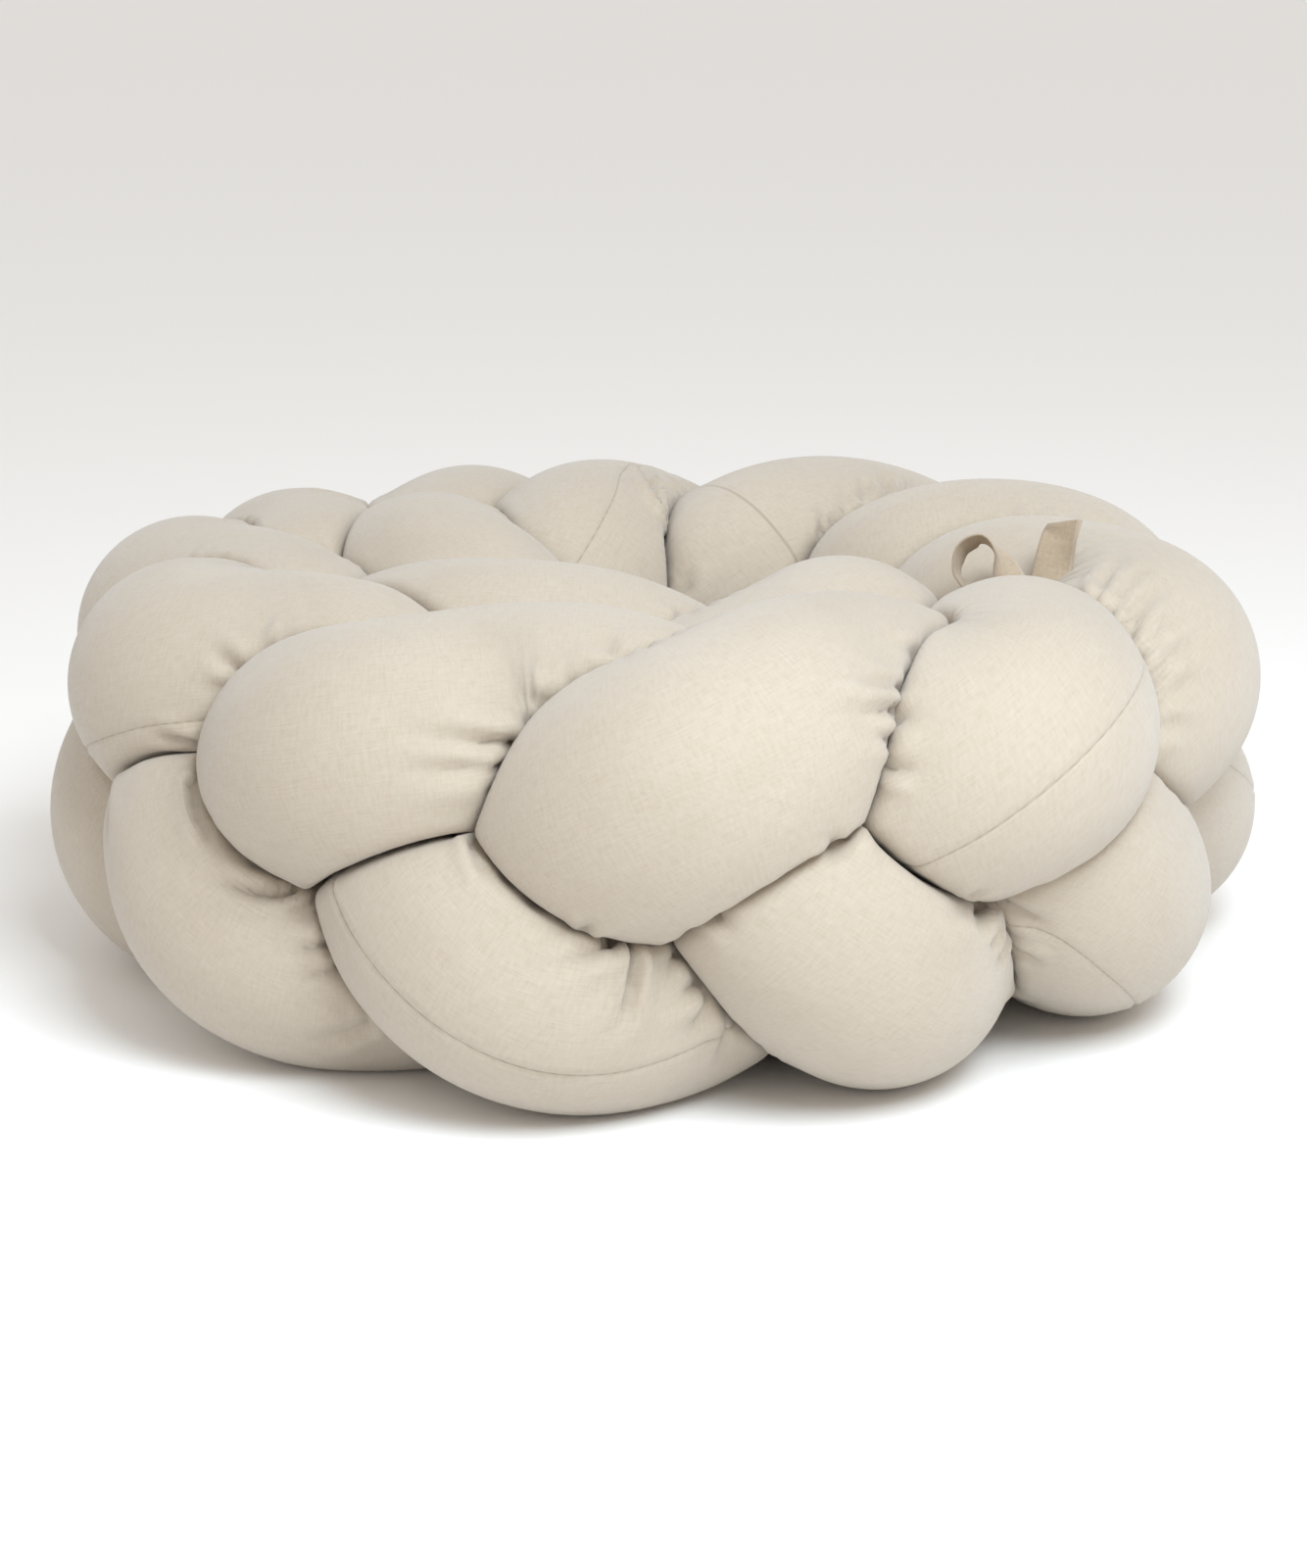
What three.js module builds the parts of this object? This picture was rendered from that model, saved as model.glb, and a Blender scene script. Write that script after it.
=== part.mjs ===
import * as THREE from 'three';

// Braided crib bumper: three stuffed cotton tubes plaited flat. The plait stands on its edge and is
// wound in a spiral of about one and a half turns, and two tape ties stand up at its inner end.
// Millimetres, +Z up, origin on the floor under the middle of the overall box, front towards -Y.

// Driving dimensions
const tubeRadius = 49;
const swingUp = 44;
const seatSink = 5;
const coilCentre = { x: 10.33, y: -0.18 };

// How the tubes press on each other
const contactGap = 0.8;
const contactSoftness = 6;
const bendShare = 0.9;
const sameTubeReach = 150;

// How the plait ends
const firstLoop = 0.3;
const lastLoop = 14.8;
const gatherLoops = 0.7;
const gatherShare = 0.35;
const taperLength = 70;
const tipShare = 0.3;

// How finely the solids are stepped
const pathSteps = 60;
const centreSpacing = 4;
const ringCount = 108;
const ringSides = 18;
const drawInPasses = 8;

// One row for each loop along the plait's top edge, from the inner end clockwise seen from above.
// Azimuth is in degrees from +X, the rest in mm: radius of the plait's middle, how far its top leans
// outwards, how far a tube swings outwards and inwards of the middle, how much higher the plait
// stands, and how much higher the loop's tube crosses the middle on its way up and on its way down.
const loops = [
  {
    place: 'inner end', azimuth: -2, radius: 106, lean: 0,
    outward: 10, inward: 28, rise: 0, climb: 0, fall: 0,
  },
  {
    place: 'inner front', azimuth: -50, radius: 94, lean: 0,
    outward: 10, inward: 28, rise: 0, climb: 0, fall: 0,
  },
  {
    place: 'inner left front', azimuth: -137, radius: 99, lean: 0,
    outward: 10, inward: 28, rise: -2, climb: 0, fall: 0,
  },
  {
    place: 'inner left back', azimuth: -205, radius: 119, lean: 0,
    outward: 14, inward: 28, rise: 0, climb: 0, fall: 0,
  },
  {
    place: 'back', azimuth: -251, radius: 135, lean: 0,
    outward: 22, inward: 28, rise: 0, climb: 0, fall: 0,
  },
  {
    place: 'back right of middle', azimuth: -291, radius: 150, lean: 0,
    outward: 28, inward: 28, rise: 0, climb: 0, fall: 0,
  },
  {
    place: 'right back', azimuth: -329, radius: 162, lean: -8,
    outward: 28, inward: 28, rise: 2, climb: 0, fall: 10,
  },
  {
    place: 'right', azimuth: -357, radius: 160, lean: -10,
    outward: 28, inward: 24, rise: 0, climb: -16, fall: 20,
  },
  {
    place: 'right front', azimuth: -402, radius: 160, lean: 8,
    outward: 30, inward: 14, rise: 0, climb: -6, fall: 16,
  },
  {
    place: 'front', azimuth: -438, radius: 164, lean: 8,
    outward: 30, inward: 14, rise: 6, climb: 20, fall: 6,
  },
  {
    place: 'left front', azimuth: -475, radius: 166, lean: -2,
    outward: 30, inward: 14, rise: -1, climb: 18, fall: 16,
  },
  {
    place: 'left', azimuth: -511, radius: 174, lean: -6,
    outward: 30, inward: 14, rise: -4, climb: 2, fall: 26,
  },
  {
    place: 'left back', azimuth: -543, radius: 184, lean: -3,
    outward: 30, inward: 14, rise: -5, climb: 14, fall: 20,
  },
  {
    place: 'outer left back', azimuth: -570, radius: 190, lean: 0,
    outward: 30, inward: 14, rise: -8, climb: 14, fall: 5,
  },
  {
    place: 'outer back', azimuth: -598, radius: 190, lean: 0,
    outward: 28, inward: 14, rise: -9, climb: 8, fall: 0,
  },
  {
    place: 'outer end', azimuth: -628, radius: 192, lean: 0,
    outward: 28, inward: 14, rise: -10, climb: 0, fall: 0,
  },
];

// Ties: flat folded tape that comes up between the two top loops over the inner end.
// One row for each point along the tape's middle, in mm, and the direction of its width there.
const tapeWidth = 15;
const tapeThickness = 1.6;
const tapeSteps = 6;
const loopTie = [
  { x: 126.5, y: -34.6, z: 156, widthX: 0.75, widthY: 0.60, widthZ: 0.05 },
  { x: 121.5, y: -37, z: 163, widthX: 0.30, widthY: 0.80, widthZ: -0.45 },
  { x: 118.8, y: -38, z: 171, widthX: 0.30, widthY: 0.80, widthZ: -0.45 },
  { x: 121.0, y: -38, z: 179, widthX: 0.30, widthY: 0.80, widthZ: -0.45 },
  { x: 127.5, y: -38, z: 182, widthX: 0.30, widthY: 0.80, widthZ: -0.45 },
  { x: 133.5, y: -38, z: 178, widthX: 0.45, widthY: 0.80, widthZ: -0.40 },
  { x: 137.5, y: -39, z: 171, widthX: 0.75, widthY: 0.60, widthZ: -0.20 },
  { x: 140.0, y: -41, z: 163, widthX: 0.95, widthY: 0.25, widthZ: 0.05 },
];
const endTie = [
  { x: 155.0, y: -43, z: 168.5, widthX: 0.93, widthY: -0.25, widthZ: 0.22 },
  { x: 156.4, y: -42, z: 173, widthX: 0.95, widthY: -0.25, widthZ: 0.05 },
  { x: 158.6, y: -42, z: 182, widthX: 0.90, widthY: -0.35, widthZ: 0.08 },
  { x: 160.7, y: -42, z: 191, widthX: 0.82, widthY: -0.50, widthZ: 0.12 },
];

const cotton = new THREE.MeshStandardMaterial({ color: 0xd8c8b2, roughness: 0.85, metalness: 0 });
const tape = new THREE.MeshStandardMaterial({ color: 0xb9a58c, roughness: 0.9, metalness: 0 });

const up = new THREE.Vector3(0, 0, 1);
const along = (name) => new THREE.CatmullRomCurve3(
  loops.map((loop) => new THREE.Vector3(loop[name], 0, 0)), false, 'catmullrom');
const course = Object.fromEntries(Object.keys(loops[0]).slice(1).map((name) => [name, along(name)]));

// Value of one of the table's columns part-way between two loops.
function valueAt(name, loop) {
  return course[name].getPoint(THREE.MathUtils.clamp(loop / (loops.length - 1), 0, 1)).x;
}

function middleAt(loop) {
  const turn = THREE.MathUtils.degToRad(valueAt('azimuth', loop));
  const radius = valueAt('radius', loop);
  return new THREE.Vector3(coilCentre.x + radius * Math.cos(turn), coilCentre.y + radius * Math.sin(turn), 0);
}

function outwardAt(loop) {
  const step = 0.001;
  const along = middleAt(loop + step).sub(middleAt(loop - step)).normalize();
  return new THREE.Vector3().crossVectors(up, along).normalize();
}

// Near both ends the three tubes draw together.
function gatherAt(loop) {
  const fromEnd = Math.min(loop - firstLoop, lastLoop - loop) / gatherLoops;
  return THREE.MathUtils.lerp(gatherShare, 1, THREE.MathUtils.smoothstep(fromEnd, 0, 1));
}

// Centre of one tube: it swings up and down once in three loops, and out and in twice.
function tubeCentreAt(tube, loop) {
  const phase = (2 * Math.PI * (loop - tube)) / 3 + Math.PI / 2;
  const swing = -Math.sin(2 * phase);
  const reach = valueAt(swing > 0 ? 'outward' : 'inward', loop);
  const halfRise = valueAt('rise', loop) / 2;
  const own = loops[THREE.MathUtils.clamp(tube + 3 * Math.round((loop - tube) / 3), 0, loops.length - 1)];
  const crossing = (Math.cos(phase) > 0 ? own.climb : own.fall) * Math.cos(phase) ** 2;
  const high = (swingUp + halfRise) * Math.sin(phase) + crossing;
  const out = valueAt('lean', loop) * Math.sin(phase) + reach * swing;
  const gather = gatherAt(loop);
  const centre = middleAt(loop).addScaledVector(outwardAt(loop), gather * out);
  centre.z = tubeRadius - seatSink + swingUp + halfRise + gather * high;
  return centre;
}

function evenlySpaced(points, count) {
  const lengths = [0];
  for (let i = 1; i < points.length; i += 1) {
    lengths.push(lengths[i - 1] + points[i].distanceTo(points[i - 1]));
  }
  const total = lengths[lengths.length - 1];
  const spaced = [];
  let from = 0;
  for (let i = 0; i < count; i += 1) {
    const wanted = (total * i) / (count - 1);
    while (from < points.length - 2 && lengths[from + 1] < wanted) from += 1;
    const share = (wanted - lengths[from]) / (lengths[from + 1] - lengths[from]);
    spaced.push(points[from].clone().lerp(points[from + 1], share));
  }
  return { points: spaced, spacing: total / (count - 1) };
}

function centreLine(tube) {
  const count = Math.round((lastLoop - firstLoop) * pathSteps);
  const points = [];
  for (let i = 0; i <= count; i += 1) {
    points.push(tubeCentreAt(tube, THREE.MathUtils.lerp(firstLoop, lastLoop, i / count)));
  }
  return points;
}

function closerOf(a, b) {
  const share = THREE.MathUtils.clamp(0.5 + (b - a) / (2 * contactSoftness), 0, 1);
  return THREE.MathUtils.lerp(b, a, share) - contactSoftness * share * (1 - share);
}

// Centre points of the tubes that press on this stretch of one tube.
function pressingPoints(tube, along, centre, lines) {
  const pressing = [];
  lines.forEach((line, other) => {
    line.points.forEach((point, i) => {
      if (other === tube && Math.abs(along - i * line.spacing) < sameTubeReach) return;
      if (point.distanceTo(centre) < 2 * tubeRadius + contactSoftness) pressing.push(point);
    });
  });
  return pressing;
}

function nearest(point, points) {
  return points.reduce((least, other) => Math.min(least, point.distanceTo(other)), Infinity);
}

// Rings of points around one tube. Where other tubes press on it, a ring stops half-way to them.
function tubeRings(tube, lines) {
  const { points: centres, spacing } = evenlySpaced(lines[tube].points, ringCount);
  const last = ringCount - 1;
  const tangents = centres.map((centre, i) => centres[Math.min(i + 1, last)].clone()
    .sub(centres[Math.max(i - 1, 0)]).normalize());
  const side = new THREE.Vector3().crossVectors(tangents[0], up).normalize();
  return centres.map((centre, i) => {
    side.addScaledVector(tangents[i], -side.dot(tangents[i])).normalize();
    const over = new THREE.Vector3().crossVectors(tangents[i], side);
    const bend = tangents[Math.min(i + 1, last)].clone().sub(tangents[Math.max(i - 1, 0)]);
    bend.divideScalar(2 * spacing);
    const pressing = pressingPoints(tube, i * spacing, centre, lines);
    const own = lines[tube].points.filter(
      (point, j) => Math.abs(i * spacing - j * lines[tube].spacing) < tubeRadius);
    const fromTip = Math.min(i, last - i) * spacing / taperLength;
    const taper = fromTip < 1 ? Math.sqrt(1 - (1 - tipShare ** 2) * (1 - fromTip) ** 2) : 1;
    const points = [];
    for (let j = 0; j < ringSides; j += 1) {
      const angle = (2 * Math.PI * j) / ringSides;
      const ray = side.clone().multiplyScalar(Math.cos(angle)).addScaledVector(over, Math.sin(angle));
      let reach = bendShare / Math.max(ray.dot(bend), 1e-6);
      pressing.forEach((point) => {
        const towards = point.clone().sub(centre);
        const facing = ray.dot(towards);
        const half = towards.length() * (towards.length() / 2 - contactGap);
        if (facing > 1e-6) reach = Math.min(reach, half / facing);
      });
      points.push(centre.clone().addScaledVector(ray, taper * closerOf(tubeRadius, reach)));
    }
    return { centre, points, pressing, own };
  });
}

// A straight edge between two ring points may cut into a neighbour where the contact is hollow.
// Both its ends are then drawn in towards their ring's centre.
function drawIn(ringA, a, ringB, b) {
  const middle = ringA.points[a].clone().lerp(ringB.points[b], 0.5);
  const crossing = nearest(middle, ringA.own) + contactGap
    - nearest(middle, ringA.pressing.concat(ringB.pressing));
  if (crossing <= 0) return;
  [[ringA, a], [ringB, b]].forEach(([ring, i]) => {
    const inward = ring.centre.clone().sub(ring.points[i]).setLength(crossing);
    ring.points[i].add(inward);
  });
}

function settleRings(rings) {
  for (let pass = 0; pass < drawInPasses; pass += 1) {
    for (let i = 0; i < rings.length; i += 1) {
      const next = rings[Math.min(i + 1, rings.length - 1)];
      for (let j = 0; j < ringSides; j += 1) {
        const beside = (j + 1) % ringSides;
        drawIn(rings[i], j, rings[i], beside);
        drawIn(rings[i], j, next, j);
        drawIn(rings[i], j, next, beside);
      }
    }
  }
  rings.forEach((ring) => ring.points.forEach((point) => point.setZ(Math.max(point.z, 0))));
  return rings.map((ring) => ring.points);
}

function skinRings(rings) {
  const sides = rings[0].length;
  const points = rings.flat();
  const faces = [];
  for (let i = 0; i < rings.length - 1; i += 1) {
    for (let j = 0; j < sides; j += 1) {
      const next = (j + 1) % sides;
      const [a, b] = [i * sides + j, i * sides + next];
      const [c, d] = [a + sides, b + sides];
      faces.push(a, b, d, a, d, c);
    }
  }
  [0, rings.length - 1].forEach((i) => {
    const middle = new THREE.Vector3();
    rings[i].forEach((point) => middle.addScaledVector(point, 1 / sides));
    points.push(middle);
    for (let j = 0; j < sides; j += 1) {
      const [a, b] = [i * sides + j, i * sides + ((j + 1) % sides)];
      faces.push(...(i === 0 ? [b, a, points.length - 1] : [a, b, points.length - 1]));
    }
  });
  const geometry = new THREE.BufferGeometry();
  geometry.setAttribute('position', new THREE.Float32BufferAttribute(
    points.flatMap((point) => [point.x, point.y, point.z]), 3));
  geometry.setIndex(faces);
  geometry.computeVertexNormals();
  return geometry;
}

// Rectangles across a flat tape, from one end to the other.
function tapeRings(rows) {
  const middle = new THREE.CatmullRomCurve3(rows.map((row) => new THREE.Vector3(row.x, row.y, row.z)));
  const widths = new THREE.CatmullRomCurve3(
    rows.map((row) => new THREE.Vector3(row.widthX, row.widthY, row.widthZ)));
  const count = (rows.length - 1) * tapeSteps;
  const rings = [];
  for (let i = 0; i <= count; i += 1) {
    const centre = middle.getPoint(i / count);
    const tangent = middle.getTangent(i / count);
    const across = widths.getPoint(i / count);
    across.addScaledVector(tangent, -across.dot(tangent)).setLength(tapeWidth / 2);
    const through = new THREE.Vector3().crossVectors(tangent, across).setLength(tapeThickness / 2);
    rings.push([[1, -1], [1, 1], [-1, 1], [-1, -1]].map(
      ([a, b]) => centre.clone().addScaledVector(across, a).addScaledVector(through, b)));
  }
  return rings;
}

const bumper = new THREE.Group();
const lines = [0, 1, 2].map((tube) => {
  const points = centreLine(tube);
  return evenlySpaced(points, Math.round(evenlySpaced(points, 2).spacing / centreSpacing));
});
['strand_one', 'strand_two', 'strand_three'].forEach((name, tube) => {
  const strand = new THREE.Mesh(skinRings(settleRings(tubeRings(tube, lines))), cotton);
  strand.name = name;
  bumper.add(strand);
});
Object.entries({ tie_loop: loopTie, tie_end: endTie }).forEach(([name, rows]) => {
  const tie = new THREE.Mesh(skinRings(tapeRings(rows)), tape);
  tie.name = name;
  bumper.add(tie);
});

export default bumper;
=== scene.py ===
import math
import bpy
import numpy as np
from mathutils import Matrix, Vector


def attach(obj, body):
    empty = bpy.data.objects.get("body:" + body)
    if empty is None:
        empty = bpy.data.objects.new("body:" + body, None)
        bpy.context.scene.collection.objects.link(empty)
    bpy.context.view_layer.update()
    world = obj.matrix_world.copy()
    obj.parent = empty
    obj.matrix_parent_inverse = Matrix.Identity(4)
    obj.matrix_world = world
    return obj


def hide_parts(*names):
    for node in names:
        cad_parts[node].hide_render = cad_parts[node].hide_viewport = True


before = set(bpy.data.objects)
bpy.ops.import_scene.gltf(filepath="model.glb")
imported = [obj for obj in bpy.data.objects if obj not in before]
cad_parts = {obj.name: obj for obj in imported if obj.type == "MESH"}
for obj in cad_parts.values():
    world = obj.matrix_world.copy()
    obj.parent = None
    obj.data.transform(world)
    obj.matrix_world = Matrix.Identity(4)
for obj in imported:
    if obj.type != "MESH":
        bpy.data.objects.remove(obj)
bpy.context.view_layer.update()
mm = 0.001
tiny = 1e-6             # keeps a division by nothing from failing
mergeWithin = 1e-6      # m
print("frame loaded")

# Camera: a little above the plait, looking down on its front
cameraSettings = {
    "place": (-0.0027, -1.3002, 0.450),     # m
    "aim": (-0.0027, -0.0002, 0.070),
    "lens": 74.25,          # mm
    "frameHeight": 36,
    "clipEnd": 20,
    "photoSize": (1334, 1600),
}
cameraPlace = np.array(cameraSettings["place"]) / mm


def addCamera(settings):
    place = Vector(settings["place"])
    look = Vector(settings["aim"]) - place
    bpy.ops.object.camera_add(location=place, rotation=look.to_track_quat("-Z", "Y").to_euler())
    camera = bpy.context.object
    camera.data.sensor_fit = "VERTICAL"
    camera.data.sensor_height = settings["frameHeight"]
    camera.data.lens = settings["lens"]
    camera.data.clip_end = settings["clipEnd"]
    bpy.context.scene.camera = camera


# Where points in mm lie in the photograph, in its own pixels
def pixelsOf(points):
    ahead = np.array(cameraSettings["aim"]) / mm - cameraPlace
    ahead /= np.linalg.norm(ahead)
    right = np.cross(ahead, (0, 0, 1))
    right /= np.linalg.norm(right)
    size = cameraSettings["photoSize"]
    focal = cameraSettings["lens"] / cameraSettings["frameHeight"] * size[1]
    offset = points - cameraPlace
    depth = offset @ ahead
    across, down = offset @ right, -(offset @ np.cross(right, ahead))
    return np.stack([size[0] / 2 + focal * across / depth, size[1] / 2 + focal * down / depth], -1)


addCamera(cameraSettings)
print("camera placed")

# The plait, in mm, laid as the solids are, so that each cloth tube lies where its solid does
plait = {
    "tubes": 3,
    "tubeRadius": 49,
    "swingUp": 44,
    "seatSink": 5,
    "centre": (10.33, -0.18),
    "contactGap": 0.8,
    "contactSoftness": 3.5, # the solids have 6, and the cloth meets in sharper crevices
    "freeRoom": 196,        # where no neighbour is near
    "bendShare": 0.9,
    "sameTubeReach": 150,
    "firstLoop": 0.3,
    "lastLoop": 14.8,
    "gatherLoops": 0.7,
    "gatherShare": 0.35,
    "pathSteps": 60,        # to a loop
    "loopSteps": 900,       # to a tube
    "kinkWidth": 22,
    "centreSpacing": 4,
    # One row for each loop over the top: its direction in degrees, then mm
    "columns": ("azimuth", "radius", "lean", "outward", "inward", "rise", "climb", "fall"),
    "loops": [
        (-2, 106, 0, 10, 28, 0, 0, 0),          # inner end
        (-50, 94, 0, 10, 28, 0, 0, 0),          # inner front
        (-137, 99, 0, 10, 28, -2, 0, 0),        # inner left front
        (-205, 119, 0, 14, 28, 0, 0, 0),        # inner left back
        (-251, 135, 0, 22, 28, 0, 0, 0),        # back
        (-291, 150, 0, 28, 28, 0, 0, 0),        # back right of middle
        (-329, 162, -8, 28, 28, 2, 0, 10),      # right back
        (-357, 160, -10, 28, 24, 0, -16, 20),   # right
        (-402, 160, 8, 30, 14, 0, -6, 16),      # right front
        (-438, 164, 8, 30, 14, 6, 20, 6),       # front
        (-475, 166, -2, 30, 14, -1, 18, 16),    # left front
        (-511, 174, -6, 30, 14, -4, 2, 26),     # left
        (-543, 184, -3, 30, 14, -5, 14, 20),    # left back
        (-570, 190, 0, 30, 14, -8, 14, 5),      # outer left back
        (-598, 190, 0, 28, 14, -9, 8, 0),       # outer back
        (-628, 192, 0, 28, 14, -10, 0, 0),      # outer end
    ],
}
up = np.array((0, 0, 1.0))


def smooth(x):
    x = np.clip(x, 0, 1)
    return x * x * (3 - 2 * x)


# A cubic from start to end, with its slope at both
def curveBetween(start, end, slopeIn, slopeOut, t):
    cubic = 2 * (start - end) + slopeIn + slopeOut
    square = 3 * (end - start) - 2 * slopeIn - slopeOut
    return ((cubic * t + square) * t + slopeIn) * t + start


def columnAt(name, loop):
    column = plait["columns"].index(name)
    row = np.array([values[column] for values in plait["loops"]], float)
    row = np.concatenate([[2 * row[0] - row[1]], row, [2 * row[-1] - row[-2]]])
    loop = np.clip(loop, 0, len(row) - 3)
    i = np.minimum(loop.astype(int), len(row) - 4)
    t = loop - i
    before, start, end, after = (row[i + k] for k in range(4))
    return curveBetween(start, end, (end - before) / 2, (after - start) / 2, t)


def middleAt(loop):
    turn, radius = np.radians(columnAt("azimuth", loop)), columnAt("radius", loop)
    x, y = plait["centre"]
    return np.stack([x + radius * np.cos(turn), y + radius * np.sin(turn), np.zeros_like(turn)], -1)


def outwardAt(loop):
    step = 0.001
    along = middleAt(loop + step) - middleAt(loop - step)
    out = np.cross(up, along)
    return out / np.linalg.norm(out, axis=1, keepdims=True)


def tubeCentreAt(number, loop):
    tubes = plait["tubes"]
    phase = 2 * math.pi * (loop - number) / tubes + math.pi / 2
    swing = -np.sin(2 * phase)
    reach = np.where(swing > 0, columnAt("outward", loop), columnAt("inward", loop))
    halfRise = columnAt("rise", loop) / 2
    own = np.clip(number + tubes * np.round((loop - number) / tubes), 0, len(plait["loops"]) - 1)
    crossing = np.where(np.cos(phase) > 0, columnAt("climb", own), columnAt("fall", own))
    high = (plait["swingUp"] + halfRise) * np.sin(phase) + crossing * np.cos(phase) ** 2
    out = columnAt("lean", loop) * np.sin(phase) + reach * swing
    fromEnd = np.minimum(loop - plait["firstLoop"], plait["lastLoop"] - loop) / plait["gatherLoops"]
    gather = plait["gatherShare"] + (1 - plait["gatherShare"]) * smooth(fromEnd)
    centre = middleAt(loop) + outwardAt(loop) * (gather * out)[:, None]
    centre[:, 2] = plait["tubeRadius"] - plait["seatSink"] + plait["swingUp"] + halfRise + gather * high
    return centre


def lengthsOf(points):
    return np.concatenate([[0], np.cumsum(np.linalg.norm(np.diff(points, axis=0), axis=1))])


def evenlySpaced(points, count):
    lengths = lengthsOf(points)
    wanted = np.linspace(0, lengths[-1], count)
    return np.stack([np.interp(wanted, lengths, points[:, k]) for k in range(3)], 1)


def spacedBy(points, step):
    return evenlySpaced(points, round(lengthsOf(points)[-1] / step))


def blurred(values, width):
    kernel = np.hanning(2 * width + 3)[1:-1]
    before = 2 * values[:1] - values[width:0:-1]
    after = 2 * values[-1:] - values[-2:-width - 2:-1]
    padded = np.concatenate([before, values, after])
    return np.stack([np.convolve(column, kernel / kernel.sum(), mode="valid") for column in padded.T], 1)


# A filled tube can't kink, so its middle is smoothed over a few centimetres.
def centreLine(number):
    count = round((plait["lastLoop"] - plait["firstLoop"]) * plait["pathSteps"]) + 1
    line = tubeCentreAt(number, np.linspace(plait["firstLoop"], plait["lastLoop"], count))
    return blurred(spacedBy(line, 1), plait["kinkWidth"])


# Which loop each ring of a tube belongs to
def loopsAlong(number, count):
    loops = np.linspace(plait["firstLoop"], plait["lastLoop"], plait["loopSteps"])
    lengths = lengthsOf(tubeCentreAt(number, loops))
    return np.interp(np.linspace(0, lengths[-1], count), lengths, loops)


# The tube that goes over the top at a whole loop, or round below at a half one
def tubeOf(loop):
    return (loop if loop == int(loop) else loop - plait["tubes"] / 2) % plait["tubes"]


centreLines = [centreLine(number) for number in range(plait["tubes"])]
print("centre lines", [round(lengthsOf(line)[-1]) for line in centreLines], "mm long")

# Cloth tubes: one rectangle of cotton each, rolled up, filled and plaited
strand = {
    "names": ("strand_one", "strand_two", "strand_three"),
    "sides": 136,
    "rings": 1320,
    "taperLength": 70,
    "tipShare": 0.3,
    "fill": 0.85,
}


def ringFrames(centres):
    along = np.gradient(centres, axis=0)
    along /= np.linalg.norm(along, axis=1, keepdims=True)
    side = np.empty_like(along)
    side[0] = np.cross(along[0], up)
    for i in range(len(along)):
        last = side[max(i - 1, 0)]
        side[i] = last - along[i] * (last @ along[i])
        side[i] /= np.linalg.norm(side[i])
    return along, side, np.cross(along, side)


def closerOf(a, b):
    soft = plait["contactSoftness"]
    share = np.clip(0.5 + (b - a) / (2 * soft), 0, 1)
    return b + (a - b) * share - soft * share * (1 - share)


# Middles of the tubes that may press on a ring, seen from its own middle
def nearbyMiddles(number, lines, centre, distance):
    near = []
    for k, line in enumerate(lines):
        gap = line - centre
        keep = np.linalg.norm(gap, axis=1) < 2 * plait["tubeRadius"] + plait["contactSoftness"]
        if k == number:
            keep &= np.abs(distance - lengthsOf(line)) > plait["sameTubeReach"]
        near.append(gap[keep])
    return np.concatenate(near)


# A tube's share of its full width, near the tips where it is drawn in
def taperAt(fromTip):
    share = min(fromTip / strand["taperLength"], 1)
    return math.sqrt(1 - (1 - strand["tipShare"] ** 2) * (1 - share) ** 2)


# Each ring reaches out to the tube's own radius, or half-way to the tube that presses on it.
def plaitedTube(number, seamTurn=0):
    centres = evenlySpaced(centreLines[number], strand["rings"])
    spacing = lengthsOf(centres)[-1] / (len(centres) - 1)
    along, side, over = ringFrames(centres)
    bend = np.gradient(along, spacing, axis=0)
    lines = [spacedBy(line, plait["centreSpacing"]) for line in centreLines]
    turns = np.arange(strand["sides"]) * 2 * math.pi / strand["sides"]
    angles = turns + np.zeros((len(centres), 1)) + seamTurn
    rays = side[:, None] * np.cos(angles)[..., None] + over[:, None] * np.sin(angles)[..., None]
    room, reach = np.empty(rays.shape[:2]), np.empty(rays.shape[:2])
    for i, centre in enumerate(centres):
        near = nearbyMiddles(number, lines, centre, i * spacing)
        size = np.linalg.norm(near, axis=1)
        half = size * (size / 2 - plait["contactGap"]) / np.maximum(rays[i] @ near.T, tiny)
        room[i] = half.min(axis=1, initial=plait["freeRoom"])
        inner = np.minimum(room[i], plait["bendShare"] / np.maximum(rays[i] @ bend[i], tiny))
        taper = taperAt(min(i, len(centres) - 1 - i) * spacing)
        reach[i] = taper * closerOf(plait["tubeRadius"], inner)
    rings = centres[:, None] + rays * reach[..., None]
    rings[..., 2] = np.maximum(rings[..., 2], 0)
    return {"rings": rings, "centres": centres, "rays": rays, "reach": reach, "room": room, "bend": bend,
            "spacing": spacing, "angles": angles, "loops": loopsAlong(number, len(centres))}


def deselectAll():
    bpy.ops.object.select_all(action="DESELECT")


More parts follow.
